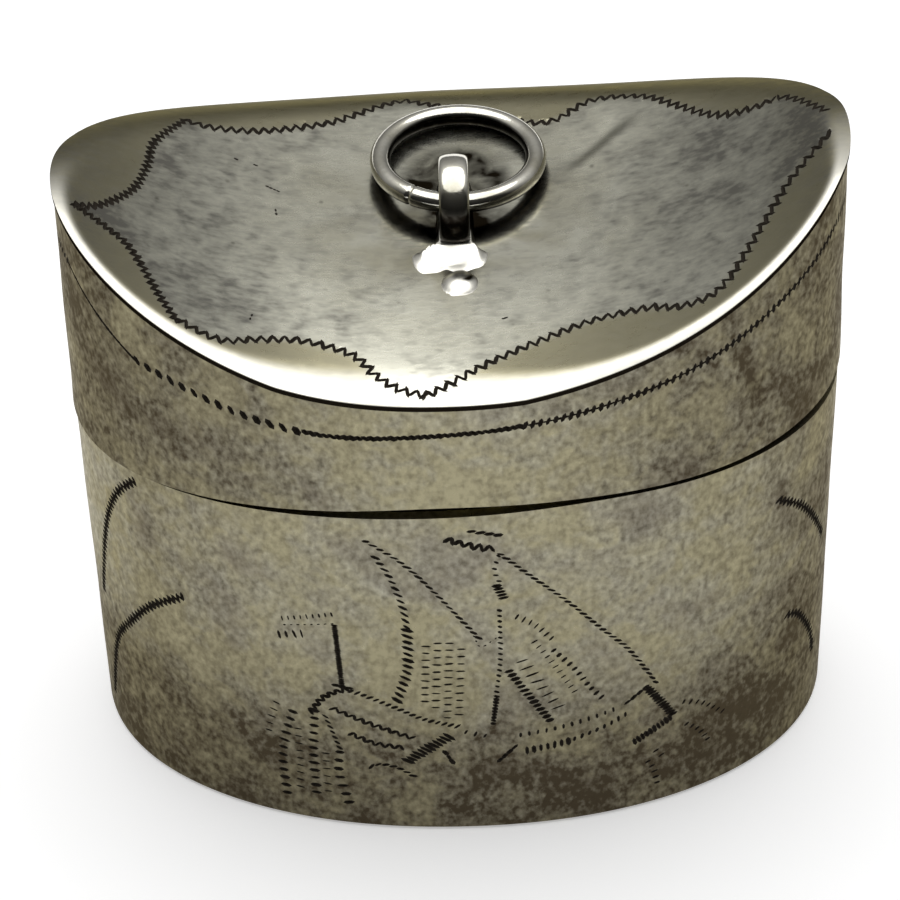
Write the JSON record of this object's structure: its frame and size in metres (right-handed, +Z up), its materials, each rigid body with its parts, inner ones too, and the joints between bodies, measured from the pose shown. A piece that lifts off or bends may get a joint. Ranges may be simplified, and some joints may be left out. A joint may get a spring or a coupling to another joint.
{
  "type": "scent box",
  "caption": "Small oval box of tarnished sheet silver with a pull-off saddle lid on an inner collar, a swinging pull ring in an eye on top, and a scent sponge inside.",
  "frame": {"origin": "on the table, under the middle of the base", "axes": "+Z up, +X along the long side to the right, +Y to the back; the engraved front faces -Y"},
  "size_m": [0.036, 0.023, 0.0332],
  "materials": {
    "body_silver": "tarnished hand-worked silver, satin, mottled brown and grey, darker towards the base",
    "lid_silver": "tarnished silver, rubbed brighter on the rolled edge and round the eye",
    "inner_silver": "dark tarnished silver",
    "wire_silver": "glossy rubbed silver wire",
    "sponge": "dry natural sponge"
  },
  "bodies": {
    "box": {"base_plate": "body_silver", "body_wall": "body_silver", "mouth_collar": "inner_silver", "scent_sponge": "sponge"},
    "lid": {"lid_wall": "lid_silver", "lid_top": "lid_silver", "eye_mound": "lid_silver", "ring_eye": "wire_silver"},
    "ring": {"pull_ring": "wire_silver"}
  },
  "joints": [
    {"name": "lid_lift", "type": "slide", "parent": "box", "child": "lid", "axis": [0, 0, 1], "range_m": [0, 0.03]},
    {"name": "ring_swing", "type": "hinge", "parent": "lid", "child": "ring", "pos_m": [0.00015, 0.00057, 0.02911], "axis": [1, 0, 0], "range_deg": [0, 188]}
  ]
}
